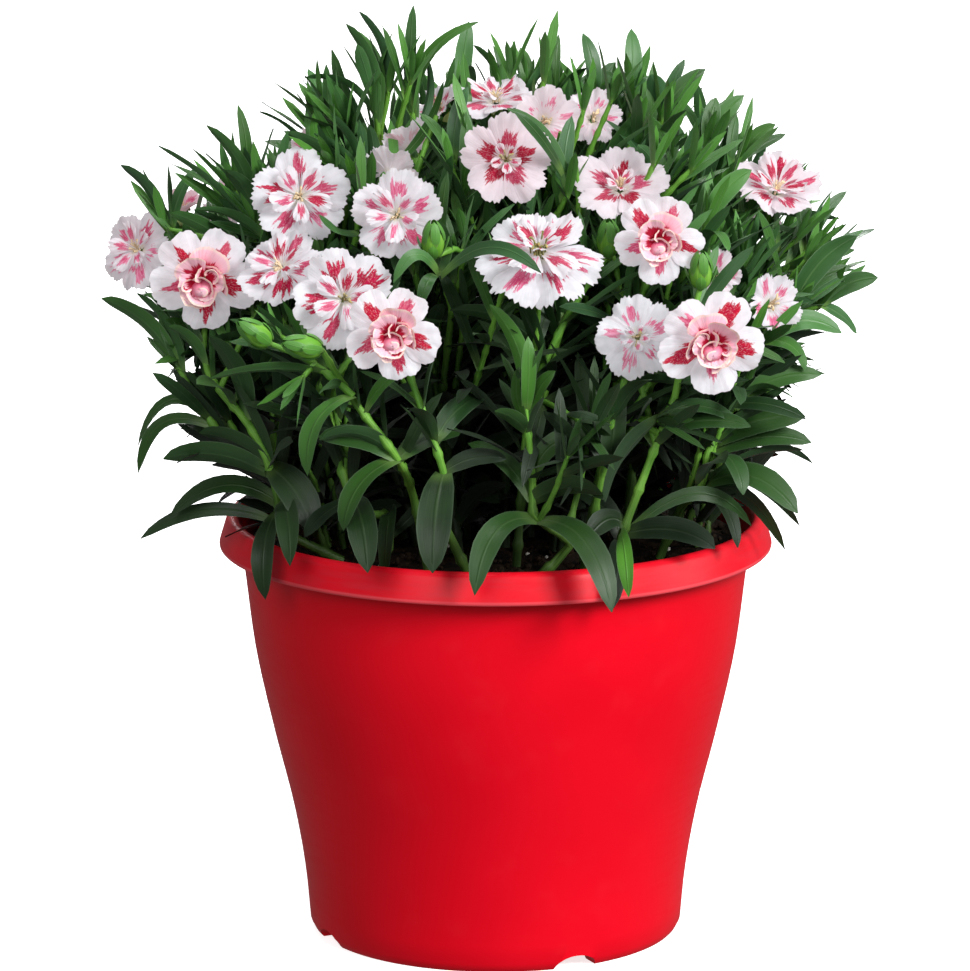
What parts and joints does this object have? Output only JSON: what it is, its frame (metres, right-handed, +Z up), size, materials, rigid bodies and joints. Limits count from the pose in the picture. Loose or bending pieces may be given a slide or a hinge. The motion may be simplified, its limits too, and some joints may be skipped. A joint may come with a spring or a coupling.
{
  "type": "potted dianthus plant",
  "caption": "Bushy flowering plant in a round tapered pot with a turned-down lip: leafy stems stand in growing mix and carry toothed blooms.",
  "frame": {"origin": "centre of the pot's foot, on the surface that the pot stands on", "axes": "+Z up along the pot's axis, -Y towards the front of the plant, +X to its right"},
  "size_m": [0.3086, 0.2689, 0.3698],
  "materials": {
    "pot": "satin red plastic",
    "growing_mix": "damp dark peat with pale grains",
    "foliage": "waxy blue-green leaf, paler at edge and base",
    "rosette_petals": "soft pink and white petal with crimson streaks",
    "petals": "soft white petal flushed pink with crimson streaks"
  },
  "bodies": {
    "root": {"pot": "pot", "growing_mix": "growing_mix", "stem_back_left": "foliage", "stem_back_mid_left": "foliage", "stem_back_mid_right": "foliage", "stem_back_middle": "foliage", "stem_back_right": "foliage", "stem_centre_left": "foliage", "stem_double": "foliage", "stem_far_left": "foliage", "stem_far_right": "foliage", "stem_frilled": "foliage", "stem_front": "foliage", "stem_front_left": "foliage", "stem_funnel": "foliage", "stem_left_edge": "foliage", "stem_left_fans": "foliage", "stem_left_of_middle": "foliage", "stem_long_right": "foliage", "stem_low_right": "foliage", "stem_pale_lower": "foliage", "stem_rosette_left": "foliage", "stem_rosette_lower_right": "foliage", "stem_rosette_middle": "foliage", "stem_rosette_right": "foliage", "stem_tall_left": "foliage", "stem_top": "foliage", "stem_top_front": "foliage", "stem_top_right": "foliage", "stem_top_right_back": "foliage", "stem_upper_left": "foliage", "bloom_back_left": "petals", "bloom_back_mid_left": "petals", "bloom_back_mid_right": "petals", "bloom_back_middle": "petals", "bloom_back_right": "petals", "bloom_behind_centre_left": "petals", "bloom_behind_funnel": "petals", "bloom_behind_upper_left": "petals", "bloom_centre_left": "petals", "bloom_double": "petals", "bloom_far_left": "petals", "bloom_far_right": "petals", "bloom_frilled_back": "petals", "bloom_funnel": "petals", "bloom_half_open_left": "petals", "bloom_hidden_right": "petals", "bloom_left_of_middle": "petals", "bloom_low_right": "petals", "bloom_open_middle": "petals", "bloom_pale_lower": "petals", "bloom_top": "petals", "bloom_top_front": "petals", "bloom_top_left": "petals", "bloom_top_right_back": "petals", "bloom_upper_left": "petals", "rosette_left": "rosette_petals", "rosette_lower_right": "rosette_petals", "rosette_middle": "rosette_petals", "rosette_right": "rosette_petals"}
  },
  "joints": []
}
